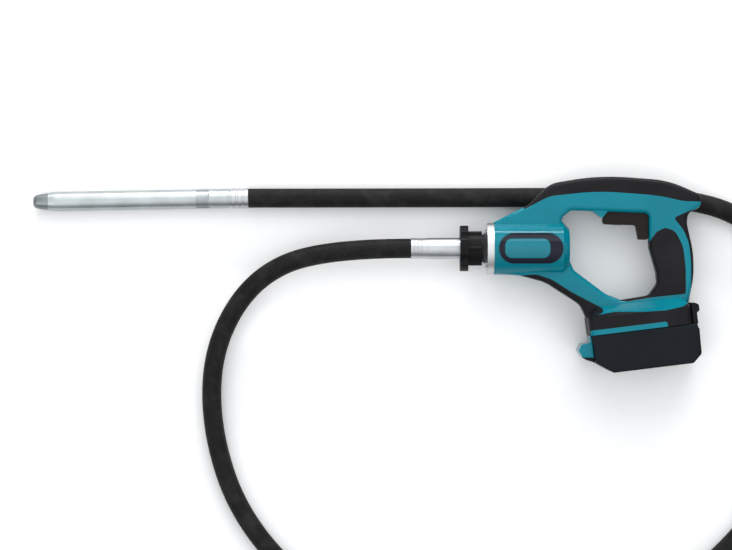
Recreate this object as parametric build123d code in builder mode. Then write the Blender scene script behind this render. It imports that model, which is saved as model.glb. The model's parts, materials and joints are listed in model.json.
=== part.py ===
"""Cordless concrete vibrator: battery drive unit, flexible shaft and vibrating head.

The drive unit lies on its right side on the floor, so its middle plane is level.
+X runs from the nose to the rear grip, +Y from the battery to the top handle, +Z is up.
The shaft leaves the nose towards -X, sweeps round on the floor, passes under the top
handle and ends in the steel head, which lies parallel to the drive unit's nose.
"""
from build123d import *
from math import cos, pi, radians, sin, tan
import os

os.makedirs("parts", exist_ok=True)

# Drive unit, mm
MID = 42.5            # height of the drive unit's middle plane, and half the battery's width
MOTOR_Y = 35.0        # the motor's axis, at the middle plane's height
HANDLE_HALF = 14.5    # half the width of the handle ring
RING_ROUND = 6.0      # rounding of the handle ring's long edges
SKIN = 1.8            # thickness of the soft overmould
WALL = 4.0            # wall of the handle ring
CAVITY_HALF = 10.0    # half the width of the hollow inside the handle ring
BARREL_R = 33.8
BARREL_FRONT = -110.0
BARREL_REAR = -14.0
BARREL_EASE = 8.0     # chamfer round the barrel's rear end
MOTOR_BORE_R = 27.2

# Battery and the base that holds it
BASE_TILT = 7.0       # the battery rises this many degrees towards the rear
BASE_X, BASE_Y = 79.0, -65.0
SKIRT_FRONT, SKIRT_REAR = -69.0, 62.7
SKIRT_LOW, SKIRT_HIGH = -3.0, 19.0
BAY_HALF, BAY_ROOF = 38.5, 11.5
BATTERY_GAP = 0.4

# Flexible shaft and head
HOSE_R = 12.5
LINER_R = 6.5
CORE_R = 5.0
JOURNAL_R = 4.0
FIT = 0.05            # radial clearance of a running fit
NOSE_END = -145.0     # end face of the threaded nose
HOSE_START = -216.0
HOSE_END = (-425.3, 100.1)
HEAD_DROP = 1.0       # degrees that the head turns from the drive unit's axis
HEAD_R = 12.5
HEAD_BORE_R = 10.0

TILT_DIRECTION = (cos(radians(BASE_TILT)), sin(radians(BASE_TILT)), 0)
HEAD_DIRECTION = (-cos(radians(HEAD_DROP)), -sin(radians(HEAD_DROP)), 0)
MIDDLE = Plane.XY.offset(MID)
MOTOR = Plane(origin=(0, MOTOR_Y, MID), x_dir=(1, 0, 0), z_dir=(0, 0, 1))
BASE = Plane(origin=(BASE_X, BASE_Y, MID), x_dir=TILT_DIRECTION, z_dir=(0, 0, 1))
HEAD = Plane(origin=(*HOSE_END, HOSE_R), x_dir=HEAD_DIRECTION, z_dir=(0, 0, 1))

# Where the right half of the housing is screwed to the left half
HOUSING_SCREWS = [(-60, 84), (-4, 110), (128, 103), (104, 70), (135, -12), (-14, -12), (28, -36)]
NOSE_SCREW_PITCH = 30.2       # radius of the circle of four screws that hold the nose

# Trigger, and the lock-on button on the right side
TRIGGER_PIN = (34.0, 86.5)
TRIGGER_HALF = 6.5
LOCK_BUTTON = (64.0, 99.0)


def save(piece, name):
    """Label a finished piece and write it."""
    piece.part.label = name
    export_step(piece.part, f"parts/{name}.step")


def turned(frame, *outlines):
    """Solids turned about the frame's X axis from closed (along, radius) outlines."""
    with BuildPart() as piece:
        with BuildSketch(frame):
            for outline in outlines:
                with BuildLine():
                    Polyline(*outline, close=True)
                make_face()
        revolve(axis=Axis(frame.origin, frame.x_dir))
    return piece


def sleeve(start, end, outer, inner):
    """Outline of a plain sleeve."""
    return [(start, inner), (start, outer), (end, outer), (end, inner)]


def across(frame, along):
    """Plane at right angles to the frame's X axis."""
    return Plane(origin=frame.from_local_coords((along, 0, 0)), x_dir=frame.z_dir, z_dir=frame.x_dir)


def block(frame, low, high):
    """Box between two corners given in a frame's own coordinates."""
    size = [b - a for a, b in zip(low, high)]
    middle = [(a + b) / 2 for a, b in zip(low, high)]
    return frame.location * Pos(*middle) * Box(*size, mode=Mode.PRIVATE)


def ball_bearings(frame, starts, width, outer, balls):
    """Ball bearings on a journal, each an outer race, an inner race and loose balls."""
    inner = JOURNAL_R + FIT
    race = (outer - inner) * 0.3
    ball = (outer - inner - 2 * race) / 2 - FIT
    with BuildPart() as bearings:
        for start in starts:
            add(turned(frame, sleeve(start, start + width, outer, outer - race),
                       sleeve(start, start + width, inner + race, inner)).part)
            with Locations(across(frame, start + width / 2)):
                with PolarLocations((outer + inner) / 2, balls):
                    Sphere(ball)
    return bearings


def coil(frame, radius, wire, turns, length):
    """Helical spring along the frame's Z axis, from its origin."""
    with BuildPart() as piece:
        with BuildLine():
            path = Helix(length / turns, length, radius, center=frame.origin, direction=frame.z_dir)
        with BuildSketch(Plane(origin=path @ 0, z_dir=path % 0)):
            Circle(wire / 2)
        sweep(is_frenet=True)
    return piece


# Handle ring, barrel and base -------------------------------------------------------

def ring(inset):
    """Side view of the handle ring, moved inwards by an inset."""
    rim = [(BARREL_FRONT, 3, 0), (BARREL_FRONT, 68.5, 0), (-66, 91, 15), (-38, 118, 35),
           (25, 128.5, 300), (112, 122, 120), (155.5, 103, 9), (153.5, 88, 6), (137.5, 79.5, 9),
           (136.2, 67, 30), (144.5, 30, 120), (145, 0, 100), (139, -32, 0), (132, -43, 0),
           (9, -57, 0), (0, -37, 25), (-45, -8, 60), (-76, 0, 40)]
    opening = [(-14, 46, 20), (-14.5, 22, 20), (-8, 7, 12), (32, -23, 14), (52, -31, 10),
               (88, -25, 10), (98.5, -9, 10), (97, 5, 20), (88, 36, 20), (87.5, 80, 6),
               (-12, 83.5, 12), (-25, 73, 8)]
    with BuildSketch(MIDDLE) as outline:
        for points, mode in ((rim, Mode.ADD), (opening, Mode.SUBTRACT)):
            with BuildLine():
                FilletPolyline(*[point[:2] for point in points],
                               radius=[point[2] for point in points], close=True)
            make_face(mode=mode)
        if inset:
            offset(amount=-inset)
    return outline


def body(inset):
    """The drive unit's outer form, moved inwards by an inset."""
    skirt_length = SKIRT_REAR - SKIRT_FRONT
    skirt_middle = (SKIRT_REAR + SKIRT_FRONT) / 2
    deck = Plane(origin=BASE.origin, x_dir=TILT_DIRECTION, z_dir=BASE.y_dir)
    with BuildPart() as form:
        add(ring(inset).sketch)
        extrude(amount=HANDLE_HALF - inset, both=True)
        fillet(form.faces().filter_by(Axis.Z).edges(), RING_ROUND - inset)
        with BuildSketch(MOTOR):
            with BuildLine():
                Polyline((BARREL_FRONT, 0), (BARREL_FRONT, BARREL_R - inset),
                         (BARREL_REAR - BARREL_EASE, BARREL_R - inset),
                         (BARREL_REAR - inset, BARREL_R - BARREL_EASE - inset),
                         (BARREL_REAR - inset, 0), close=True)
            make_face()
        revolve(axis=Axis(MOTOR.origin, MOTOR.x_dir))
        with BuildSketch(deck.offset(SKIRT_LOW)):
            with Locations((skirt_middle, 0)):
                RectangleRounded(skirt_length - 2 * inset, 2 * (MID - inset), 9 - inset)
        extrude(amount=SKIRT_HIGH - SKIRT_LOW)
        with BuildSketch(deck.offset(SKIRT_HIGH)):
            with Locations((skirt_middle, 0)):
                RectangleRounded(skirt_length - 2 * inset, 2 * (MID - inset), 9 - inset)
        with BuildSketch(deck.offset(SKIRT_HIGH + 13 - inset)):
            with Locations((skirt_middle + 2, 0)):
                RectangleRounded(skirt_length - 20 - 2 * inset, 2 * (HANDLE_HALF + 4 - inset), 9 - inset)
        loft()
    return form


outer = body(0).part
under_skin = body(SKIN).part


def region(plane, *points):
    """Prism through the whole drive unit over an outline on a side view, with a radius at each corner."""
    with BuildPart() as prism:
        with BuildSketch(plane):
            with BuildLine():
                FilletPolyline(*[point[:2] for point in points], radius=[point[2] for point in points],
                               close=True)
            make_face()
        extrude(amount=2 * MID, both=True)
    return prism.part


def screw_wells():
    """Counterbores that open on the right side, and the screw holes beyond them."""
    with BuildPart() as wells:
        with BuildSketch(Plane.XY):
            with Locations(*HOUSING_SCREWS):
                Circle(3.8)
        extrude(amount=MID - 6)
        with BuildSketch(Plane.XY.offset(MID - 6)):
            with Locations(*HOUSING_SCREWS):
                Circle(1.8)
        extrude(amount=14)
    return wells.part


wells = screw_wells()


def overmould(prism):
    """Soft skin over the part of the drive unit's form inside a prism."""
    with BuildPart() as skin:
        add(outer)
        add(prism, mode=Mode.INTERSECT)
        add(under_skin, mode=Mode.SUBTRACT)
        add(wells, mode=Mode.SUBTRACT)
    return skin


bay = block(BASE, (-65.5, SKIRT_LOW - 1, -BAY_HALF), (SKIRT_REAR + 1, BAY_ROOF, BAY_HALF))
trigger_slot = (block(MIDDLE, (29, 74, -7.5), (92, 94, 7.5))
                + block(MIDDLE, (81, 43.5, -7.5), (94.5, 80, 7.5)))

handle_cover = overmould(region(MIDDLE, (-72, 84.5, 0), (-40, 101.5, 45), (22, 108.2, 300), (98, 102.8, 250),
                                (132, 95.2, 60), (160, 94.5, 0), (160, 135, 0), (-72, 135, 0)))
save(handle_cover, "handle_cover")

with BuildPart() as grip_pad:
    add(overmould(region(MIDDLE, (76, 44, 0), (88.5, 44, 0), (97, 56, 10), (108, 61.5, 9), (121, 57, 14),
                         (131, 38, 45), (134.3, 10, 100), (134.5, -23, 3), (96, -27, 0), (60, -33, 0),
                         (50, -31.5, 0), (76, -20, 0))).part)
    add(trigger_slot, mode=Mode.SUBTRACT)
save(grip_pad, "grip_pad")

back_pad = overmould(region(MIDDLE, (156, 87, 0), (138, 82.5, 20), (119, 74, 3), (131.5, 58.5, 40),
                            (138.5, 42, 40), (141.2, 18, 100), (141.5, -22, 0), (156, -22, 0)))
save(back_pad, "back_pad")

with BuildPart() as base_bumper:
    add(overmould(region(BASE, (-80, 14, 0), (-62, 22, 10), (-34, 23.5, 20), (0, 19.5, 60), (30, 17.6, 60),
                         (52, 20, 20), (66, 26, 10), (80, 30, 0), (80, -10, 0), (30, -10, 0), (30, 3.5, 3),
                         (-68, 3.5, 0), (-68, -10, 0), (-80, -10, 0))).part)
    add(bay, mode=Mode.SUBTRACT)
save(base_bumper, "base_bumper")

with BuildPart() as strut_guard:
    add(overmould(region(MIDDLE, (-78, 0, 0), (-56, 2, 20), (-36, -5, 40), (-11, -21, 60), (33, -44, 4),
                         (8, -56, 0), (-6, -56, 0), (-78, -20, 0))).part)
    add(base_bumper.part, mode=Mode.SUBTRACT)
save(strut_guard, "strut_guard")

pads = [handle_cover, grip_pad, back_pad, strut_guard, base_bumper]


def housing():
    """Both halves of the moulded housing in one piece, hollow and screwed across the middle."""
    bearing_seat = (BARREL_REAR - 14, BARREL_REAR - 4)
    with BuildPart() as shell:
        add(outer)
        for pad in pads:
            add(pad.part, mode=Mode.SUBTRACT)
        add(ring(WALL).sketch)
        extrude(amount=CAVITY_HALF, both=True, mode=Mode.SUBTRACT)
        add(turned(MOTOR, sleeve(BARREL_FRONT, bearing_seat[0], MOTOR_BORE_R, 0)).part, mode=Mode.SUBTRACT)
        add(turned(MOTOR, sleeve(*bearing_seat, 15, 0)).part)
        add(turned(MOTOR, sleeve(*bearing_seat, 11, 0)).part, mode=Mode.SUBTRACT)
        add(bay, mode=Mode.SUBTRACT)
        add(block(BASE, (-58, BAY_ROOF, -CAVITY_HALF), (45, 24, CAVITY_HALF)), mode=Mode.SUBTRACT)
        for side in (-1, 1):
            rail = sorted((side * 28.5, side * BAY_HALF))
            add(block(BASE, (-60, -1, rail[0]), (SKIRT_REAR - 4, 2, rail[1])))
        with BuildSketch(MIDDLE.offset(-HANDLE_HALF + SKIN)):
            with Locations(*HOUSING_SCREWS):
                Circle(4.8)
        extrude(amount=2 * (HANDLE_HALF - SKIN))
        with BuildSketch(MIDDLE):
            with BuildLine():
                Polyline((12, 86), (26.5, 74.2), (28.5, 74.2), (38, 86), close=True)
            make_face()
        extrude(amount=HANDLE_HALF - 2.5, both=True)
        add(wells, mode=Mode.SUBTRACT)
        add(trigger_slot, mode=Mode.SUBTRACT)
        with BuildSketch(MIDDLE):
            with Locations(TRIGGER_PIN):
                Circle(4.3)
        extrude(amount=10.2, both=True, mode=Mode.SUBTRACT)
        with BuildSketch(MIDDLE):
            with Locations(TRIGGER_PIN):
                Circle(1.5)
        extrude(amount=12, both=True, mode=Mode.SUBTRACT)
        with BuildSketch(across(MOTOR, BARREL_FRONT)):
            with PolarLocations(NOSE_SCREW_PITCH, 4, start_angle=45):
                Circle(1.7)
        extrude(amount=14, mode=Mode.SUBTRACT)
        with BuildSketch(Plane.XY):
            with Locations(LOCK_BUTTON):
                Circle(5.3)
        extrude(amount=MID - 4, mode=Mode.SUBTRACT)
    return shell


whole_housing = housing().part
for side_name, kept_side in (("left", Keep.TOP), ("right", Keep.BOTTOM)):
    with BuildPart() as housing_half:
        add(whole_housing)
        split(bisect_by=MIDDLE, keep=kept_side)
    save(housing_half, f"housing_{side_name}")

with BuildPart() as battery_guard:
    with BuildSketch(BASE):
        with BuildLine():
            FilletPolyline((-66.8, SKIRT_LOW), (-69, SKIRT_LOW), (-69.5, -12), (-80.5, -12.5), (-85.5, -20),
                           (-81.5, -29), (-66.8, -31.5), radius=[0, 0, 3, 3, 3, 3, 0], close=True)
        make_face()
    extrude(amount=31, both=True)
save(battery_guard, "battery_guard")

with BuildPart() as guard_foot:
    with BuildSketch(BASE):
        with BuildLine():
            Polyline((-66.8, -31.6), (-80.4, -29.3), (-75, -34), (-66.8, -37.5), close=True)
        make_face()
    extrude(amount=29, both=True)
save(guard_foot, "guard_foot")

with BuildPart() as housing_screws:
    with BuildSketch(Plane.XY.offset(MID - 8.5)):
        with Locations(*HOUSING_SCREWS):
            Circle(3.4)
            RegularPolygon(1.3, 6, mode=Mode.SUBTRACT)
    extrude(amount=2.5)
    with BuildSketch(Plane.XY.offset(MID - 6.8)):
        with Locations(*HOUSING_SCREWS):
            Circle(1.8)
    extrude(amount=14)
save(housing_screws, "housing_screws")


# Badges: a dark stadium ring and a plain plate on each side of the barrel -----------------

BADGE = (-104.5, -23.0, 19.4)     # front end, rear end and half height of the ring
PLATE = (-97.0, -39.4, 12.7)


def badges(reach, rounding, proud, cut=None):
    """A pair of curved plates that follow the barrel, one on each side."""
    start, end, half = reach
    with BuildPart() as plates:
        with BuildSketch(MOTOR):
            with Locations(((start + end) / 2, 0)):
                RectangleRounded(end - start, 2 * half, rounding)
            if cut:
                with Locations(((cut[0] + cut[1]) / 2, 0)):
                    RectangleRounded(cut[1] - cut[0], 2 * cut[2], 9, mode=Mode.SUBTRACT)
        extrude(amount=MID, both=True)
        add(turned(MOTOR, sleeve(BARREL_FRONT, 0, BARREL_R + proud, BARREL_R)).part, mode=Mode.INTERSECT)
    return plates


save(badges(BADGE, 19.3, 1.4, cut=PLATE), "badge_rings")
save(badges(PLATE, 9, 0.7), "badge_plates")


# Nose, coupling nut and hose fitting -----------------------------------------------------

with BuildPart() as nose:
    add(turned(MOTOR, [(-145, 8), (-145, 15), (-125.2, 15), (-125.2, 17.5), (-123.5, 18.5), (-118.8, 27),
                       (-118.8, 32.6), (BARREL_FRONT, 32.6), (BARREL_FRONT, 24), (-103.5, 24),
                       (-103.5, 11), (-111.5, 11), (-111.5, 8)]).part)
    with BuildSketch(across(MOTOR, -118.8)):
        with PolarLocations(NOSE_SCREW_PITCH, 4, start_angle=45):
            Circle(1.7)
    extrude(amount=10, mode=Mode.SUBTRACT)
save(nose, "nose")

with BuildPart() as nose_screws:
    with BuildSketch(across(MOTOR, -118.8)):
        with PolarLocations(NOSE_SCREW_PITCH, 4, start_angle=45):
            Circle(2.9)
            RegularPolygon(1.2, 6, mode=Mode.SUBTRACT)
    extrude(amount=-1.8)
    with BuildSketch(across(MOTOR, -118.8)):
        with PolarLocations(NOSE_SCREW_PITCH, 4, start_angle=45):
            Circle(1.7)
    extrude(amount=20)
save(nose_screws, "nose_screws")

with BuildPart() as coupling_nut:
    with BuildSketch(across(MOTOR, -153.5)):
        Circle(30)
        with PolarLocations(34.5, 6, start_angle=30):
            Circle(9, mode=Mode.SUBTRACT)
    extrude(amount=10.5)
    with BuildSketch(across(MOTOR, -143)):
        Circle(22)
        with PolarLocations(21.5, 6):
            Circle(3)
    extrude(amount=17.4)
    with BuildSketch(across(MOTOR, -153.5)):
        Circle(14.2)
    extrude(amount=28, mode=Mode.SUBTRACT)
    with BuildSketch(across(MOTOR, -150.2)):
        Circle(15 + FIT)
    extrude(amount=25, mode=Mode.SUBTRACT)
    fillet(coupling_nut.faces().filter_by(Axis.X).sort_by(Axis.X)[0].edges().sort_by(Edge.length)[-6:], 1.2)
save(coupling_nut, "coupling_nut")

thrust_washer = turned(MOTOR, sleeve(-150.1, -149.6, 14.95, 14.2))
save(thrust_washer, "thrust_washer")


def grooved(start, end, radius, groove_count, pitch, depth):
    """Outline of a sleeve with evenly spaced square grooves from its start."""
    points = [(start, LINER_R), (start, radius)]
    for number in range(groove_count):
        near = start + (number + 0.7) * pitch
        far = start + (number + 1) * pitch
        points += [(near, radius), (near, radius - depth), (far, radius - depth), (far, radius)]
    return points + [(end, radius), (end, LINER_R)]


hose_fitting = turned(MOTOR, grooved(HOSE_START, -194, 13.4, 3, 5, 0.5),
                      sleeve(-194, -149.3, 13.8, LINER_R), sleeve(-149.3, -145.3, 14.9, LINER_R))
save(hose_fitting, "hose_fitting")


# Motor ------------------------------------------------------------------------------------

save(turned(MOTOR, sleeve(-88, -36, 27, 25)), "motor_can")

with BuildPart() as motor_magnets:
    with BuildSketch(MOTOR):
        with Locations((-65, 22.6)):
            Rectangle(40, 4.6)
    revolve(axis=Axis(MOTOR.origin, MOTOR.x_dir), revolution_arc=130)
    with BuildSketch(MOTOR):
        with Locations((-65, -22.6)):
            Rectangle(40, 4.6)
    revolve(axis=Axis(MOTOR.origin, MOTOR.x_dir), revolution_arc=130)
save(motor_magnets, "motor_magnets")

save(turned(MOTOR, [(-36, 11), (-36, 27), (-28, 27), (-28, 11)]), "brush_plate")

with BuildPart() as armature_core:
    with BuildSketch(across(MOTOR, -86)):
        Circle(19.8)
        with PolarLocations(16, 12):
            Rectangle(8, 3, mode=Mode.SUBTRACT)
        Circle(JOURNAL_R, mode=Mode.SUBTRACT)
    extrude(amount=40)
save(armature_core, "armature_core")

armature_windings = turned(MOTOR, [(-91, 6), (-91, 15), (-89, 18), (-86, 18), (-86, 6)],
                           [(-46, 6), (-46, 18), (-43, 18), (-41, 15), (-41, 6)])
save(armature_windings, "armature_windings")

with BuildPart() as commutator:
    with BuildSketch(across(MOTOR, -40.5)):
        Circle(9)
        Circle(JOURNAL_R, mode=Mode.SUBTRACT)
        with PolarLocations(8.6, 24):
            Rectangle(1.2, 0.5, mode=Mode.SUBTRACT)
    extrude(amount=11)
save(commutator, "commutator")

with BuildPart() as cooling_fan:
    add(turned(MOTOR, sleeve(-100, -93, 8, JOURNAL_R), sleeve(-94, -93, 24, 8)).part)
    with BuildSketch(across(MOTOR, -100)):
        with PolarLocations(15.8, 9):
            Rectangle(16, 1.4)
    extrude(amount=6)
save(cooling_fan, "cooling_fan")

save(turned(MOTOR, [(-113, 0), (-113, JOURNAL_R), (-18.5, JOURNAL_R), (-18.5, 0)]), "motor_shaft")

with BuildPart() as drive_socket:
    with BuildSketch(across(MOTOR, -144)):
        Circle(6.4)
    extrude(amount=31)
    with BuildSketch(across(MOTOR, -144)):
        RegularPolygon(4, 6, major_radius=False)
    extrude(amount=24, mode=Mode.SUBTRACT)
save(drive_socket, "drive_socket")

save(ball_bearings(MOTOR, (-111.4, -26), 7, 11, 8), "motor_bearings")

with BuildPart() as carbon_brushes:
    for side in (-1, 1):
        add(block(MOTOR, (-39.5, -3, min(side * 9.3, side * 17)), (-36.2, 3, max(side * 9.3, side * 17))))
save(carbon_brushes, "carbon_brushes")

with BuildPart() as core_end_drive:
    with BuildSketch(across(MOTOR, -144.5)):
        RegularPolygon(3.8, 6, major_radius=False)
    extrude(amount=22)
    with BuildSketch(across(MOTOR, HOSE_START + 0.4)):
        Circle(4.5)
    extrude(amount=-144.5 - HOSE_START - 0.4)
save(core_end_drive, "core_end_drive")


# Trigger and switch -----------------------------------------------------------------------

with BuildPart() as trigger:
    with BuildSketch(MIDDLE):
        with BuildLine():
            FilletPolyline((30.5, 66), (28.5, 70.5), (31, 79), (31, 90), (37, 90), (38, 85.5), (87, 85.5),
                           (87, 47), (84, 46), (74, 46.3), (71, 65), (45, 65),
                           radius=[2, 2, 2, 2, 2, 1, 1, 2, 2, 2, 4, 6], close=True)
        make_face()
        with Locations(TRIGGER_PIN):
            Circle(1.5 + FIT, mode=Mode.SUBTRACT)
    extrude(amount=TRIGGER_HALF, both=True)
save(trigger, "trigger")

with BuildPart() as trigger_pin:
    with BuildSketch(MIDDLE):
        with Locations(TRIGGER_PIN):
            Circle(1.5)
    extrude(amount=12, both=True)
save(trigger_pin, "trigger_pin")

SWITCH = Plane(origin=(66, 94, MID), x_dir=(1, 0, 0), z_dir=(0, 1, 0))
with BuildPart() as switch_body:
    add(block(MIDDLE, (48, 94, -7.5), (90, 112, 5)))
    with BuildSketch(SWITCH):
        Circle(3.2)
    extrude(amount=10, mode=Mode.SUBTRACT)
save(switch_body, "switch_body")

with BuildPart() as switch_plunger:
    with BuildSketch(SWITCH.offset(-8)):
        Circle(2.8)
    extrude(amount=12)
save(switch_plunger, "switch_plunger")

save(coil(Plane(origin=(*TRIGGER_PIN, MID + 6.9), z_dir=(0, 0, 1)), 3.0, 0.8, 2, 2.2), "trigger_spring")

BUTTON = Plane(origin=(*LOCK_BUTTON, MID - HANDLE_HALF), z_dir=(0, 0, 1))
with BuildPart() as lock_button:
    with BuildSketch(BUTTON.offset(-3)):
        Circle(5)
    extrude(amount=6.5)
    fillet(lock_button.edges().group_by(Axis.Z)[0], 1)
save(lock_button, "lock_button")
save(coil(BUTTON.offset(3.75), 3.2, 0.4, 2, 2.9), "lock_spring")


# Battery ----------------------------------------------------------------------------------

BATTERY_TOP = SKIRT_LOW - BATTERY_GAP
CASE_WALL = 2.5
PLATE_FRONT = SKIRT_REAR + BATTERY_GAP     # face plate with the latch button, behind the base


def battery_outline(inset):
    """Side view of the battery case below its lid, moved inwards by an inset."""
    with BuildSketch(BASE) as outline:
        with BuildLine():
            FilletPolyline((-66.3, BATTERY_TOP), (-66.3, -37.8), (-45, -53), (57, -53), (68.5, -42.5),
                           (69.5, -10), (68, -8), (68, BATTERY_TOP), radius=[0, 3, 4, 4, 5, 1, 1, 0],
                           close=True)
        make_face()
        if inset:
            offset(amount=-inset)
    return outline


UNDERSIDE = Plane(origin=BASE.from_local_coords((0, -53, 0)), x_dir=BASE.x_dir, z_dir=-BASE.y_dir)
BATTERY_SCREW_GRID = (84, 70)
with BuildPart() as battery_case:
    add(battery_outline(0).sketch)
    extrude(amount=MID, both=True)
    fillet(battery_case.faces().filter_by(Axis.Z).edges().filter_by(GeomType.LINE), 2.5)
    add(battery_outline(CASE_WALL).sketch)
    extrude(amount=MID - CASE_WALL, both=True, mode=Mode.SUBTRACT)
    with BuildSketch(UNDERSIDE):
        with GridLocations(*BATTERY_SCREW_GRID, 2, 2):
            Circle(2.6)
    extrude(amount=-1.4, mode=Mode.SUBTRACT)
save(battery_case, "battery_case")

LATCH_HALF = 15.0
TERMINALS = (-12.0, 12.0)      # middle of each blade across the battery
with BuildPart() as battery_top:
    add(block(BASE, (-57, BATTERY_TOP, -27), (PLATE_FRONT, 9, 27)))
    add(block(BASE, (-57, 2.6, -33), (PLATE_FRONT, 9, 33)))
    add(block(BASE, (PLATE_FRONT, BATTERY_TOP, -MID + 3), (69, 23, MID - 3)))
    chamfer(battery_top.edges().filter_by(Axis.Z).group_by(Axis.Y)[-1], 1.5)
    add(block(BASE, (64.5, 3, -LATCH_HALF - 0.4), (71, 24, LATCH_HALF + 0.4)), mode=Mode.SUBTRACT)
    for place in TERMINALS:
        add(block(BASE, (-58, -2, place - 1.2), (-38, 8, place + 1.2)), mode=Mode.SUBTRACT)
save(battery_top, "battery_top")

with BuildPart() as battery_latch:
    with BuildSketch(BASE):
        with BuildLine():
            FilletPolyline((65, 9), (65, 22), (71, 22), (75, 19.5), (75, 12), (71, 9),
                           radius=[0, 0, 2, 2, 2, 0], close=True)
        make_face()
    extrude(amount=LATCH_HALF, both=True)
save(battery_latch, "battery_latch")

LATCH_SPRING = Plane(origin=BASE.from_local_coords((66.8, 3.5, 0)), z_dir=BASE.y_dir)
save(coil(LATCH_SPRING, 1.7, 0.5, 2, 1.4), "latch_spring")

with BuildPart() as battery_cells:
    with BuildSketch(BASE):
        with GridLocations(19.2, 19.2, 5, 2):
            with Locations((0, -27)):
                Circle(9.1)
    extrude(amount=32.5, both=True)
save(battery_cells, "battery_cells")

with BuildPart() as cell_straps:
    for end, columns in ((32.5, (-38.4, 0, 38.4)), (-32.9, (-19.2, 19.2))):
        for column in columns:
            add(block(BASE, (column - 4, -42, end), (column + 4, -12, end + 0.4)))
save(cell_straps, "cell_straps")

with BuildPart() as battery_board:
    add(block(BASE, (-48, -7.4, -20), (30, -6.2, 20)))
save(battery_board, "battery_board")

with BuildPart() as battery_screws:
    with BuildSketch(UNDERSIDE):
        with GridLocations(*BATTERY_SCREW_GRID, 2, 2):
            Circle(2.6)
            RegularPolygon(1.1, 6, mode=Mode.SUBTRACT)
    extrude(amount=-1.4)
save(battery_screws, "battery_screws")

with BuildPart() as battery_contacts:
    for place in TERMINALS:
        for side in (-1.15, 0.7):
            add(block(BASE, (-54, -1, place + side), (-44, 6, place + side + 0.45)))
save(battery_contacts, "battery_contacts")

with BuildPart() as terminal_block:
    add(block(BASE, (-65.5, SKIRT_LOW + 1, -20), (-59, BAY_ROOF, 20)))
save(terminal_block, "terminal_block")

with BuildPart() as terminal_blades:
    for place in TERMINALS:
        add(block(BASE, (-59, -1, place - 0.5), (-41, 6, place + 0.5)))
save(terminal_blades, "terminal_blades")


# Leads inside the housing -----------------------------------------------------------------

def lead(places, bend, height):
    """Insulated wire along straight runs joined by arcs, at one height."""
    with BuildPart() as wire:
        with BuildLine() as route:
            FilletPolyline(*[(x, y, height) for x, y in places], radius=bend)
        with BuildSketch(Plane(origin=route.line @ 0, z_dir=route.line % 0)):
            Circle(1.2)
        sweep()
    return wire


TO_SWITCH = [(19, -49), (40, -42), (106, -36), (114, -20), (118, 40), (112, 96), (90.5, 103)]
TO_MOTOR = [(47.5, 104), (-25, 104), (-44, 84), (-44, 64)]
with BuildPart() as leads:
    for places, heights in ((TO_SWITCH, (MID - 3, MID + 3)), (TO_MOTOR, (MID - 5, MID + 2))):
        for height in heights:
            add(lead(places, 7, height).part)
save(leads, "leads")


# Vibrating head ---------------------------------------------------------------------------

save(turned(HEAD, grooved(0, 26, 12.8, 3, 8, 1.2)), "head_ferrule")
save(turned(HEAD, sleeve(26, 50.5, HEAD_R, LINER_R)), "head_collar")
save(turned(HEAD, sleeve(50.5, 67, HEAD_R - 0.3, HEAD_BORE_R)), "head_joint")
save(turned(HEAD, [(67, HEAD_BORE_R), (67, HEAD_R), (248, HEAD_R), (258, 11.4), (258, HEAD_BORE_R)]),
     "head_tube")
save(turned(HEAD, [(249, 0), (249, HEAD_BORE_R), (258, HEAD_BORE_R), (258, 11.1), (267, 9.8),
                   (273, 8.6), (276, 6.6), (277, 4.6), (277, 0)]), "head_tip")
save(ball_bearings(HEAD, (70, 233), 7, HEAD_BORE_R, 7), "head_bearings")
save(turned(HEAD, sleeve(59, 65, HEAD_BORE_R, JOURNAL_R + FIT)), "head_seal")

with BuildPart() as eccentric:
    add(turned(HEAD, [(42, 0), (42, JOURNAL_R), (241, JOURNAL_R), (241, 0)]).part)
    with BuildSketch(across(HEAD, 82)):
        Circle(9.3)
        with Locations((0, 6)):
            Rectangle(20, 10, mode=Mode.SUBTRACT)
    extrude(amount=146)
save(eccentric, "eccentric")
save(turned(HEAD, sleeve(0.4, 42, 4.6, 0)), "core_end_head")


# Hose, with the turning core inside it ----------------------------------------------------

ROUTE = [(HOSE_START, MOTOR_Y, MID), (-325, MOTOR_Y, MID), (-416, 0, 33), (-470, -88, 22), (-474, -196, 15),
         (-436, -312, HOSE_R), (-345, -410, HOSE_R), (-218, -462, HOSE_R), (-75, -472, HOSE_R),
         (70, -440, HOSE_R), (190, -362, HOSE_R), (268, -250, HOSE_R), (296, -135, HOSE_R),
         (288, -28, HOSE_R), (240, 62, HOSE_R), (145, 103, HOSE_R), (-46, 100.5, HOSE_R),
         (*HOSE_END, HOSE_R)]


def bend_radii(route):
    """Radius at each inner point: 0.45 of the shorter run over the tangent of half the turn."""
    radii = []
    for before, here, after in zip(route, route[1:], route[2:]):
        come = Vector(*here) - Vector(*before)
        leave = Vector(*after) - Vector(*here)
        shorter = min(come.length, leave.length)
        radii.append(0.45 * shorter / tan(radians(come.get_angle(leave)) / 2))
    return radii


def along_route(outer_radius, inner_radius):
    """Round section swept along the hose's route."""
    with BuildPart() as tube:
        with BuildLine() as route:
            FilletPolyline(*ROUTE, radius=bend_radii(ROUTE))
        with BuildSketch(Plane(origin=route.line @ 0, z_dir=route.line % 0)):
            Circle(outer_radius)
            if inner_radius:
                Circle(inner_radius, mode=Mode.SUBTRACT)
        sweep()
    section = pi * (outer_radius ** 2 - inner_radius ** 2)
    length = sum(edge.length for edge in route.edges())
    print(f"length {length:.1f}, volume over section {tube.part.volume / section:.1f}")
    return tube


print("bend radii", [round(radius) for radius in bend_radii(ROUTE)])
save(along_route(HOSE_R, LINER_R), "hose")
save(along_route(CORE_R, 0), "flex_core")
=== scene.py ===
"""Looks of the cordless concrete vibrator: one operator per piece or group of like pieces."""

import json
import math

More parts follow.
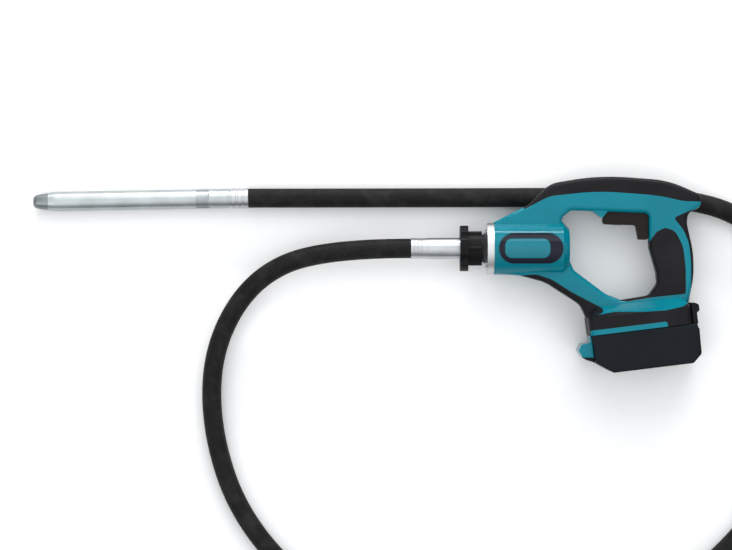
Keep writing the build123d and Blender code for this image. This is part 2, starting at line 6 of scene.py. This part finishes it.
import bmesh
import bpy
from bpy.props import FloatProperty, FloatVectorProperty, IntProperty, PointerProperty
from mathutils import Matrix, Vector


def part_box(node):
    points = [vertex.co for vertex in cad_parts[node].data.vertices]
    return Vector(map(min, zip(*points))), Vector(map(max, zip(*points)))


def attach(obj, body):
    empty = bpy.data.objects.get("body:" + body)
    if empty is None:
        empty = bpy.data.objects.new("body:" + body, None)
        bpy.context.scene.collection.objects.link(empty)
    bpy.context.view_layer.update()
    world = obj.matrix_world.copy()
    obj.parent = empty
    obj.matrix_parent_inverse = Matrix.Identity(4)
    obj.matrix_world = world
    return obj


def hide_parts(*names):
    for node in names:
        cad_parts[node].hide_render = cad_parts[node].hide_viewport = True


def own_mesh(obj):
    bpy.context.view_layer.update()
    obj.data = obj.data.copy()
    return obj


bl_info = {
    "name": "Concrete Vibrator",
    "version": (1, 0, 0),
    "blender": (4, 5, 0),
    "location": "View3D > Sidebar > Vibrator",
    "description": "Builds the looks of a cordless concrete vibrator around its CAD frame",
    "category": "Object",
}

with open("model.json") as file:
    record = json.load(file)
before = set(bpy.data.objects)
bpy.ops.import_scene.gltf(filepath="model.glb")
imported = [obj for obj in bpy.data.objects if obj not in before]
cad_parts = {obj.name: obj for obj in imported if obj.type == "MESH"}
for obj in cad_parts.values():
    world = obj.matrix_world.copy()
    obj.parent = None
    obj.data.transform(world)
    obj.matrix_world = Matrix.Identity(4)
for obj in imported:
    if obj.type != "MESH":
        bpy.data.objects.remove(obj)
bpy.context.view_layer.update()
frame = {"nodes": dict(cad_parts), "record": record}
BODY_OF = {node: body for body, nodes in frame["record"]["behaviour"]["bodies"].items() for node in nodes}

# Route of the shaft's middle line, in metres, from the hose fitting to the head
ROUTE = [(-0.216, 0.035, 0.0425), (-0.325, 0.035, 0.0425), (-0.416, 0.0, 0.033), (-0.470, -0.088, 0.022),
         (-0.474, -0.196, 0.015), (-0.436, -0.312, 0.0125), (-0.345, -0.410, 0.0125),
         (-0.218, -0.462, 0.0125), (-0.075, -0.472, 0.0125), (0.070, -0.440, 0.0125),
         (0.190, -0.362, 0.0125), (0.268, -0.250, 0.0125), (0.296, -0.135, 0.0125),
         (0.288, -0.028, 0.0125), (0.240, 0.062, 0.0125), (0.145, 0.103, 0.0125),
         (-0.046, 0.1005, 0.0125), (-0.4253, 0.1001, 0.0125)]
MIDDLE_HEIGHT = 0.0425          # height of the drive unit's middle plane
MOTOR_LINE = Vector((0.0, 0.035, MIDDLE_HEIGHT))
VIEW_CENTRE = (-0.2736, 0.001)  # point of the middle plane below the camera
HEAD_DROP = math.radians(1)     # how far the head turns from the motor's line
JOINT_LENGTH = 0.0165           # the head's knurled joint, along the head
JOINT_BORE = 0.010              # radius of its bore
KNURL_ROWS = 18                 # rows of knurl along the joint
SMOOTH_BELOW = math.radians(35)  # faces that meet at less than this shade as one
EASED_ABOVE = math.radians(32)  # edges sharper than this are eased


# Sizes and colours ------------------------------------------------------------------------

def colour(name, description, default):
    return FloatVectorProperty(name=name, description=description, default=default,
                               subtype="COLOR", size=3, min=0, max=1)


class VibratorColours(bpy.types.PropertyGroup):
    """Colours of the finishes."""
    moulding: colour("Moulding", "Glossy moulded housing", (0.000, 0.165, 0.218))
    elastomer: colour("Elastomer", "Soft overmould", (0.0065, 0.006, 0.0075))
    battery: colour("Battery", "Battery case", (0.0060, 0.0080, 0.0105))
    trigger: colour("Trigger", "Finger lever", (0.0150, 0.0120, 0.0105))
    badge: colour("Badge", "Ring round the badge", (0.004, 0.006, 0.016))
    steel: colour("Steel", "Satin steel of the head", (0.43, 0.465, 0.47))
    zinc: colour("Zinc", "Plated fittings", (0.47, 0.485, 0.505))
    hose: colour("Hose", "Hose rubber", (0.0065, 0.0065, 0.0065))


class VibratorSizes(bpy.types.PropertyGroup):
    """Sizes of the made pieces and of the stage."""
    hose_diameter: FloatProperty(name="Hose diameter", description="Outside of the hose",
                                 default=0.025, min=0.01, subtype="DISTANCE", unit="LENGTH")
    hose_length: FloatProperty(name="Hose length", description="Length of the hose between its fittings",
                               default=2.35, min=0.5, subtype="DISTANCE", unit="LENGTH")
    core_diameter: FloatProperty(name="Core diameter", description="Turning core inside the hose",
                                 default=0.010, min=0.004, subtype="DISTANCE", unit="LENGTH")
    knurl_depth: FloatProperty(name="Knurl depth", description="Depth of the knurl on the head's joint",
                               default=0.00035, min=0, subtype="DISTANCE", unit="LENGTH")
    knurl_teeth: IntProperty(name="Knurl teeth", description="Teeth round the head's joint",
                             default=84, min=12)
    view_width: FloatProperty(name="View width", description="Width that the camera sees at the middle plane",
                              default=0.937, min=0.1, subtype="DISTANCE", unit="LENGTH")
    view_height: FloatProperty(name="Camera height", description="Camera above the middle plane",
                               default=4.2, min=0.5, subtype="DISTANCE", unit="LENGTH")


# Finishes ---------------------------------------------------------------------------------

class Value:
    """An output of a node. Arithmetic on it adds Math nodes."""

    def __init__(self, nodes, socket):
        self.nodes, self.socket = nodes, socket

    def math(self, operation, *others, turned=False):
        terms = (self, *others)
        return self.nodes.node("ShaderNodeMath", {"operation": operation},
                               dict(enumerate(reversed(terms) if turned else terms)))

    def __add__(self, other):
        return self.math("ADD", other)

    __radd__ = __add__

    def __sub__(self, other):
        return self.math("SUBTRACT", other)

    def __rsub__(self, other):
        return self.math("SUBTRACT", other, turned=True)

    def __mul__(self, other):
        return self.math("MULTIPLY", other)

    __rmul__ = __mul__

    def __gt__(self, other):
        return self.math("GREATER_THAN", other)

    def between(self, low, high):
        """0 at low, 1 at high, held outside."""
        return self.nodes.node("ShaderNodeMapRange", {"interpolation_type": "SMOOTHSTEP"},
                               {"Value": self, "From Min": low, "From Max": high})


class Nodes:
    """The node tree of a material or of the world."""

    def __init__(self, owner):
        owner.use_nodes = True
        self.tree = owner.node_tree
        self.tree.nodes.clear()

    def node(self, kind, settings=None, sockets=None, output=0):
        """Adds a node, with its settings, and the values or links of its sockets."""
        made = self.tree.nodes.new(kind)
        for name, value in (settings or {}).items():
            setattr(made, name, value)
        for name, value in (sockets or {}).items():
            if isinstance(value, Value):
                self.tree.links.new(value.socket, made.inputs[name])
            else:
                made.inputs[name].default_value = value
        return Value(self, made.outputs[output]) if made.outputs else None

    def parts(self, source):
        """X, Y and Z of a texture coordinate."""
        split = self.node("ShaderNodeSeparateXYZ", None, {0: self.node("ShaderNodeTexCoord", output=source)})
        return [Value(self, socket) for socket in split.socket.node.outputs]


class Finish(Nodes):
    """A procedural material."""

    def __init__(self, name):
        self.material = bpy.data.materials.new(name)
        super().__init__(self.material)

    def place(self, stretch=(1, 1, 1)):
        """Place on the piece, in metres."""
        coordinates = self.node("ShaderNodeTexCoord", output="Object")
        return self.node("ShaderNodeMapping", None, {"Vector": coordinates, "Scale": stretch})

    def noise(self, scale, detail=3, rough=0.55, stretch=(1, 1, 1)):
        return self.node("ShaderNodeTexNoise", None, {"Vector": self.place(stretch), "Scale": scale,
                                                      "Detail": detail, "Roughness": rough})

    def blend(self, share, first, second):
        """Colour between two colours."""
        return self.node("ShaderNodeMix", {"data_type": "RGBA"}, {0: share, 6: (*first, 1), 7: (*second, 1)},
                         output=2)

    def bump(self, height, distance, strength=1.0, under=None):
        """Relief of a height in metres, on top of another relief if there is one."""
        sockets = {"Height": height, "Distance": distance, "Strength": strength}
        if under:
            sockets["Normal"] = under
        return self.node("ShaderNodeBump", None, sockets)

    def shade(self, **sockets):
        """Ends the tree in a Principled shader."""
        names = {key.replace("_", " ").title().replace("Ior", "IOR"): value for key, value in sockets.items()}
        shader = self.node("ShaderNodeBsdfPrincipled", None, names)
        self.node("ShaderNodeOutputMaterial", None, {"Surface": shader})
        return self.material


def shaded(base, factor):
    """A colour made darker or lighter."""
    return tuple(min(1.0, c * factor) for c in base)


def moulded(name, base, roughness=0.25, grain=900, depth=0.00002, coat=0.0, drift=0.06):
    """Moulded plastic: a fine grain, and a slow drift of tone and gloss."""
    f = Finish(name)
    drifting = f.noise(14, 2)
    fine = f.noise(grain, 2, 0.6)
    tone = f.blend(drifting.between(0.3, 0.7), shaded(base, 1 - drift), shaded(base, 1 + drift))
    gloss = roughness * 0.85 + drifting * (roughness * 0.3) + fine * 0.03
    return f.shade(base_color=tone, roughness=gloss, normal=f.bump(fine, depth),
                   coat_weight=coat, coat_roughness=0.06, specular_ior_level=0.09)


def elastomer(name, base, roughness=0.5, grain=700):
    """Soft black overmould: a pebbled grain with a faint bloom."""
    f = Finish(name)
    pebbles = f.node("ShaderNodeTexVoronoi", None, {"Vector": f.place(), "Scale": grain})
    bloom = f.noise(18, 4)
    tone = f.blend(bloom.between(0.35, 0.75), shaded(base, 0.85), shaded(base, 1.6))
    gloss = roughness - 0.06 + bloom * 0.16
    return f.shade(base_color=tone, roughness=gloss, normal=f.bump(pebbles, 0.00006, 0.7),
                   specular_ior_level=0.13)


def satin_metal(name, base, roughness=0.32, lines=1400, line_depth=0.000012, stain=0.12, scratches=True):
    """Turned and plated metal: fine turning lines across X, slow stains and a few handling marks."""
    f = Finish(name)
    turning = f.noise(lines, 2, 0.7, (1, 0.02, 0.02))
    stains = f.noise(38, 5, 0.6)
    marks = f.noise(260, 3, 0.7, (0.25, 1, 1))
    tone = f.blend(stains.between(0.3, 0.75), shaded(base, 1 - stain), shaded(base, 1 + stain * 0.5))
    gloss = roughness - 0.05 + stains * 0.14 + turning * 0.06
    normal = f.bump(turning, line_depth)
    if scratches:
        normal = f.bump(marks, line_depth * 1.5, 0.6, normal)
    return f.shade(base_color=tone, metallic=1.0, roughness=gloss, normal=normal)


def wound_cable(name, base):
    """Layers of wire wound round a core."""
    f = Finish(name)
    strands = f.node("ShaderNodeTexWave", {"bands_direction": "DIAGONAL"},
                     {"Vector": f.place(), "Scale": 180, "Distortion": 0.4})
    tone = f.blend(strands, shaded(base, 0.5), base)
    return f.shade(base_color=tone, metallic=1.0, roughness=0.38 + strands * 0.1,
                   normal=f.bump(strands, 0.0003))


def hose_rubber(name, base):
    """Cloth-wrapped hose rubber: the print of a diagonal wrap, with a dusty bloom."""
    f = Finish(name)
    along, around, _ = f.parts("UV")
    turns, lean = along * 1180, around * 40
    wrap = (turns + lean).math("SINE").math("MAXIMUM", (turns - lean).math("SINE")) * 0.5 + 0.5
    bloom = f.noise(46, 5, 0.62)
    grit = f.noise(900, 2)
    tone = f.blend(bloom.between(0.42, 0.72), base, shaded(base, 2.6))
    gloss = 0.50 + bloom * 0.2
    normal = f.bump(grit, 0.00008, 0.8, f.bump(wrap, 0.00022, 0.8))
    return f.shade(base_color=tone, roughness=gloss, normal=normal, specular_ior_level=0.13)


def two_leads(name):
    """Insulation that is red above the middle plane and black below it."""
    f = Finish(name)
    height = f.parts("Object")[2]
    grain = f.noise(300, 2)
    tone = f.blend(height > MIDDLE_HEIGHT, (0.01, 0.01, 0.012), (0.35, 0.012, 0.01))
    return f.shade(base_color=tone, roughness=0.38 + grain * 0.1, normal=f.bump(grain, 0.00003))


def circuit_board(name):
    """Solder resist over copper tracks."""
    f = Finish(name)
    tracks = f.node("ShaderNodeTexBrick", None, {"Vector": f.place(), "Scale": 90.0, "Mortar Size": 0.03},
                    output="Fac")
    tone = f.blend(tracks, (0.008, 0.09, 0.03), (0.02, 0.16, 0.06))
    return f.shade(base_color=tone, roughness=0.3 + tracks * 0.1, normal=f.bump(tracks, 0.00004))


FINISHES = {}


def make_finishes(colours):
    """Fills FINISHES, which the pieces take their materials from."""
    FINISHES.update(
        moulding=moulded("glossy_moulding", colours.moulding, 0.20, grain=1500, depth=0.000006, coat=0.16),
        elastomer=elastomer("soft_overmould", colours.elastomer, 0.44),
        battery=moulded("battery_moulding", colours.battery, 0.42, grain=1300, depth=0.00004, drift=0.15),
        lever=moulded("lever_moulding", colours.trigger, 0.4, grain=1200, depth=0.00003),
        badge=moulded("badge_gloss", colours.badge, 0.16, grain=1500, depth=0.000004, coat=0.2),
        badge_plate=moulded("badge_plate_gloss", colours.moulding, 0.14, grain=1500, depth=0.000004,
                            coat=0.4),
        black=moulded("fine_black_moulding", (0.006, 0.006, 0.0068), 0.36, grain=1100, depth=0.00004),
        foot=elastomer("foot_rubber", colours.elastomer, 0.55),
        steel=satin_metal("satin_steel", colours.steel, 0.30),
        tip=satin_metal("hardened_tip", (0.25, 0.28, 0.285), 0.36, stain=0.2),
        knurl=satin_metal("knurled_steel", (0.34, 0.37, 0.38), 0.36),
        zinc=satin_metal("zinc_plate", colours.zinc, 0.26),
        casting=satin_metal("machined_casting", (0.58, 0.59, 0.60), 0.34, lines=700, stain=0.06),
        dark_steel=satin_metal("dark_steel", (0.19, 0.20, 0.21), 0.38),
        polished=satin_metal("bearing_steel", (0.68, 0.69, 0.70), 0.14, stain=0.03, scratches=False),
        copper=satin_metal("enamelled_copper", (0.72, 0.30, 0.14), 0.3, lines=2400, line_depth=0.00003),
        brass=satin_metal("contact_brass", (0.72, 0.53, 0.22), 0.28),
        nickel=satin_metal("nickel_strip", (0.66, 0.64, 0.60), 0.25),
        magnet=moulded("ferrite", (0.03, 0.03, 0.034), 0.6, grain=800, depth=0.00006),
        graphite=moulded("graphite", (0.035, 0.035, 0.038), 0.5, depth=0.00004),
        cell=moulded("cell_wrap", (0.02, 0.16, 0.10), 0.3, grain=1200, depth=0.00001),
        plunger=moulded("plunger_moulding", (0.5, 0.04, 0.02), 0.4),
        cable=wound_cable("wound_cable", (0.35, 0.35, 0.36)),
        hose=hose_rubber("wrapped_hose_rubber", colours.hose),
        leads=two_leads("lead_insulation"),
        board=circuit_board("circuit_board"),
    )


# Which finish each CAD piece takes, and the width in millimetres to which its edges are eased.
# The badge plates and the pieces inside the tool keep their own shape and have no width.
PIECES = {
    "housing_left": ("moulding", 0.9), "housing_right": ("moulding", 0.9), "battery_guard": ("moulding", 1.2),
    "handle_cover": ("elastomer", 2.2), "grip_pad": ("elastomer", 1.6), "back_pad": ("elastomer", 1.6),
    "strut_guard": ("elastomer", 2.0), "base_bumper": ("elastomer", 2.0), "guard_foot": ("foot", 0.8),
    "housing_screws": ("dark_steel", 0.15), "nose_screws": ("dark_steel", 0.15),
    "battery_screws": ("dark_steel", 0.15), "badge_rings": ("badge", 0.4),
    "nose": ("casting", 0.5), "coupling_nut": ("black", 0.7), "hose_fitting": ("zinc", 0.3),
    "trigger": ("lever", 0.9), "lock_button": ("black", 0.3), "battery_case": ("battery", 1.6),
    "battery_top": ("black", 0.7), "battery_latch": ("black", 0.6), "head_ferrule": ("zinc", 0.3),
    "head_collar": ("steel", 0.3), "head_tube": ("steel", 0.3), "head_tip": ("tip", 0.3),
    "badge_plates": ("badge_plate", None), "thrust_washer": ("steel", None), "motor_can": ("zinc", None),
    "motor_magnets": ("magnet", None), "brush_plate": ("black", None), "armature_core": ("dark_steel", None),
    "armature_windings": ("copper", None), "commutator": ("copper", None), "cooling_fan": ("black", None),
    "motor_shaft": ("polished", None), "drive_socket": ("dark_steel", None),
    "motor_bearings": ("polished", None), "carbon_brushes": ("graphite", None),
    "core_end_drive": ("dark_steel", None), "core_end_head": ("dark_steel", None),
    "eccentric": ("dark_steel", None), "head_bearings": ("polished", None), "head_seal": ("foot", None),
    "trigger_pin": ("polished", None), "switch_body": ("black", None), "switch_plunger": ("plunger", None),
    "trigger_spring": ("polished", None), "latch_spring": ("polished", None), "battery_cells": ("cell", None),
    "cell_straps": ("nickel", None), "battery_board": ("board", None), "battery_contacts": ("brass", None),
    "terminal_block": ("black", None), "terminal_blades": ("brass", None), "leads": ("leads", None),
}


# Shapes -----------------------------------------------------------------------------------

def finish_piece(obj, node, finish):
    """Puts a made piece on the body of the CAD node that it stands for, and gives it its finish."""
    bpy.context.scene.collection.objects.link(obj)
    obj.data.materials.append(FINISHES[finish])
    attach(obj, BODY_OF[node])
    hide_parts(node)
    return obj


def to_object(bm, name, crease=SMOOTH_BELOW):
    """Mesh object from a bmesh, smooth but for its sharp edges."""
    mesh = bpy.data.meshes.new(name)
    bm.to_mesh(mesh)
    bm.free()
    mesh.shade_smooth()
    mesh.set_sharp_from_angle(angle=crease)
    return bpy.data.objects.new(name, mesh)


def merged_copy(node):
    """A CAD node's mesh as one connected surface, with its flat faces whole."""
    bm = bmesh.new()
    bm.from_mesh(frame["nodes"][node].data)
    bmesh.ops.remove_doubles(bm, verts=bm.verts, dist=1e-6)
    bmesh.ops.dissolve_limit(bm, angle_limit=math.radians(0.5), verts=bm.verts, edges=bm.edges)
    return bm


def eased(node, width):
    """A copy of a CAD node with its sharp edges eased."""
    obj = to_object(merged_copy(node), node + "_shape")
    edge = obj.modifiers.new("eased_edges", "BEVEL")
    edge.width, edge.segments, edge.limit_method, edge.angle_limit = width, 3, "ANGLE", EASED_ABOVE
    edge.harden_normals = True
    return obj


def route_curve(name, diameter, roundness):
    """Smooth tube along the shaft's route."""
    curve = bpy.data.curves.new(name, "CURVE")
    curve.dimensions = "3D"
    spline = curve.splines.new("NURBS")
    spline.points.add(len(ROUTE) - 1)
    for point, place in zip(spline.points, ROUTE):
        point.co = (*place, 1)
    spline.order_u = 3
    spline.use_endpoint_u = True
    spline.resolution_u = 24
    curve.bevel_depth = diameter / 2
    curve.bevel_resolution = roundness
    curve.use_fill_caps = True
    return bpy.data.objects.new(name, curve)


# Operators --------------------------------------------------------------------------------

class VibratorOperator:
    """What the operators share. Each has a make method, which is given the settings."""
    bl_options = {"REGISTER", "UNDO"}

    def execute(self, context):
        self.make(context.scene.vibrator_sizes, context.scene.vibrator_colours)
        return {"FINISHED"}


class VIBRATOR_OT_camera(VibratorOperator, bpy.types.Operator):
    """Camera above the tool, square to its side"""
    bl_idname = "vibrator.camera"
    bl_label = "Camera"

    def make(self, sizes, colours):
        data = bpy.data.cameras.new("camera")
        data.lens = data.sensor_width * sizes.view_height / sizes.view_width
        camera = bpy.data.objects.new("camera", data)
        camera.location = (*VIEW_CENTRE, MIDDLE_HEIGHT + sizes.view_height)
        bpy.context.scene.collection.objects.link(camera)
        bpy.context.scene.camera = camera


class VIBRATOR_OT_hose(VibratorOperator, bpy.types.Operator):
    """Finishes, then the hose and the turning core inside it"""
    bl_idname = "vibrator.hose"
    bl_label = "Hose"

    def make(self, sizes, colours):
        make_finishes(colours)
        core = route_curve("core_cable", sizes.core_diameter, 2)
        finish_piece(core, "flex_core", "cable")
        hose = route_curve("hose_tube", sizes.hose_diameter, 7)
        finish_piece(hose, "hose", "hose")


class VIBRATOR_OT_shells(VibratorOperator, bpy.types.Operator):
    """Mouldings, pads, fittings and screws, with eased edges"""
    bl_idname = "vibrator.shells"
    bl_label = "Mouldings and fittings"

    def make(self, sizes, colours):
        for node, (finish, width) in PIECES.items():
            if width:
                finish_piece(eased(node, width / 1000), node, finish)


class VIBRATOR_OT_inner(VibratorOperator, bpy.types.Operator):
    """Finishes of the pieces that keep their CAD shape"""
    bl_idname = "vibrator.inner"
    bl_label = "Inner pieces"

    def make(self, sizes, colours):
        for node, (finish, width) in PIECES.items():
            if not width:
                for slot in frame["nodes"][node].material_slots:
                    slot.material = FINISHES[finish]


class VIBRATOR_OT_knurl(VibratorOperator, bpy.types.Operator):
    """Knurled joint of the head"""
    bl_idname = "vibrator.knurl"
    bl_label = "Knurled joint"

    def make(self, sizes, colours):
        low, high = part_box("head_joint")
        outside, middle = (high.z - low.z) / 2, (low + high) / 2
        along = Vector((-math.cos(HEAD_DROP), -math.sin(HEAD_DROP), 0))
        pitch = JOINT_LENGTH / KNURL_ROWS
        bm = bmesh.new()
        outline = [(0, JOINT_BORE), *((row * pitch, outside) for row in range(KNURL_ROWS + 1)),
                   (JOINT_LENGTH, JOINT_BORE)]
        profile = [bm.verts.new((x, 0, radius)) for x, radius in outline]
        edges = [bm.edges.new(pair) for pair in zip(profile, profile[1:] + profile[:1])]
        bmesh.ops.spin(bm, geom=profile + edges, cent=(0, 0, 0), axis=(1, 0, 0), angle=math.tau,
                       steps=sizes.knurl_teeth, use_merge=True)
        bmesh.ops.remove_doubles(bm, verts=bm.verts, dist=1e-6)
        bmesh.ops.recalc_face_normals(bm, faces=bm.faces)
        tooth = math.tau / sizes.knurl_teeth
        for vert in bm.verts:
            radius, row = math.hypot(vert.co.y, vert.co.z), round(vert.co.x / pitch)
            if radius > (JOINT_BORE + outside) / 2 and 0 < row < KNURL_ROWS:
                column = round(math.atan2(vert.co.y, vert.co.z) / tooth)
                if (row + column) % 2:
                    vert.co.yz *= 1 - sizes.knurl_depth / radius
        turn = Vector((1, 0, 0)).rotation_difference(along).to_matrix().to_4x4()
        start = Matrix.Translation(middle - along * JOINT_LENGTH / 2)
        bmesh.ops.transform(bm, matrix=start @ turn, verts=bm.verts)
        finish_piece(to_object(bm, "head_joint_knurl", math.radians(60)), "head_joint", "knurl")


class VIBRATOR_OT_lock_spring(VibratorOperator, bpy.types.Operator):
    """Spring behind the lock button, as a smooth copy on a mesh of its own"""
    bl_idname = "vibrator.lock_spring"
    bl_label = "Lock button spring"

    def make(self, sizes, colours):
        spring = to_object(merged_copy("lock_spring"), "lock_spring_shape")
        finish_piece(spring, "lock_spring", "polished")
        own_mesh(spring)


class VIBRATOR_OT_stage(VibratorOperator, bpy.types.Operator):
    """Pale floor and soft studio light"""
    bl_idname = "vibrator.stage"
    bl_label = "Stage"

    def make(self, sizes, colours):
        f = Finish("paper")
        speck = f.blend(f.noise(60), (0.90, 0.90, 0.90), (0.93, 0.93, 0.93))
        bm = bmesh.new()
        bmesh.ops.create_grid(bm, x_segments=2, y_segments=2, size=6)
        floor = to_object(bm, "floor")
        floor.data.materials.append(f.shade(base_color=speck, roughness=0.9, specular_ior_level=0.1))
        bpy.context.scene.collection.objects.link(floor)
        self.sky(0.20, 1.62)
        self.panel("key", (-0.1, 2.3, 2.3), (2.6, 1.6), 26)
        self.panel("low_strip", (0.0, 2.4, 0.62), (2.6, 0.16), 52)
        self.panel("fill", (-2.4, -1.4, 2.2), (1.6, 1.6), 16)
        self.panel("rim", (2.2, -1.8, 1.6), (1.2, 1.2), 10)
        bpy.context.scene.view_settings.view_transform = "Standard"

    def sky(self, low, high):
        """White studio dome, dimmer at the horizon than overhead."""
        world = bpy.data.worlds.new("studio")
        dome = Nodes(world)
        height = dome.parts("Generated")[2]
        strength = dome.node("ShaderNodeMapRange", None,
                             {"Value": height.math("POWER", 2), "To Min": low, "To Max": high})
        light = dome.node("ShaderNodeBackground", None, {"Color": (0.97, 0.985, 1, 1), "Strength": strength})
        dome.node("ShaderNodeOutputWorld", None, {"Surface": light})
        bpy.context.scene.world = world

    def panel(self, name, place, size, power):
        """Soft rectangular light aimed at the tool."""
        data = bpy.data.lights.new(name, "AREA")
        data.shape, data.size, data.size_y, data.energy = "RECTANGLE", *size, power
        light = bpy.data.objects.new(name, data)
        light.location = place
        light.rotation_euler = (MOTOR_LINE - light.location).to_track_quat("-Z", "Y").to_euler()
        bpy.context.scene.collection.objects.link(light)


class VIBRATOR_PT_panel(bpy.types.Panel):
    """Lists the operators and their settings"""
    bl_idname = "VIBRATOR_PT_panel"
    bl_label = "Concrete Vibrator"
    bl_space_type = "VIEW_3D"
    bl_region_type = "UI"
    bl_category = "Vibrator"

    def draw(self, context):
        for operator in OPERATORS:
            self.layout.operator(operator.bl_idname)
        for group in (context.scene.vibrator_sizes, context.scene.vibrator_colours):
            for name in group.__annotations__:
                self.layout.prop(group, name)


OPERATORS = (VIBRATOR_OT_camera, VIBRATOR_OT_hose, VIBRATOR_OT_shells, VIBRATOR_OT_inner, VIBRATOR_OT_knurl,
             VIBRATOR_OT_lock_spring, VIBRATOR_OT_stage)
CLASSES = (VibratorColours, VibratorSizes, *OPERATORS, VIBRATOR_PT_panel)


def register():
    for cls in CLASSES:
        bpy.utils.register_class(cls)
    bpy.types.Scene.vibrator_sizes = PointerProperty(type=VibratorSizes)
    bpy.types.Scene.vibrator_colours = PointerProperty(type=VibratorColours)


def unregister():
    del bpy.types.Scene.vibrator_sizes
    del bpy.types.Scene.vibrator_colours
    for cls in reversed(CLASSES):
        bpy.utils.unregister_class(cls)


def main():
    register()
    for operator in OPERATORS:
        getattr(bpy.ops.vibrator, operator.bl_idname.split(".")[1])()


if __name__ == "__main__":
    main()
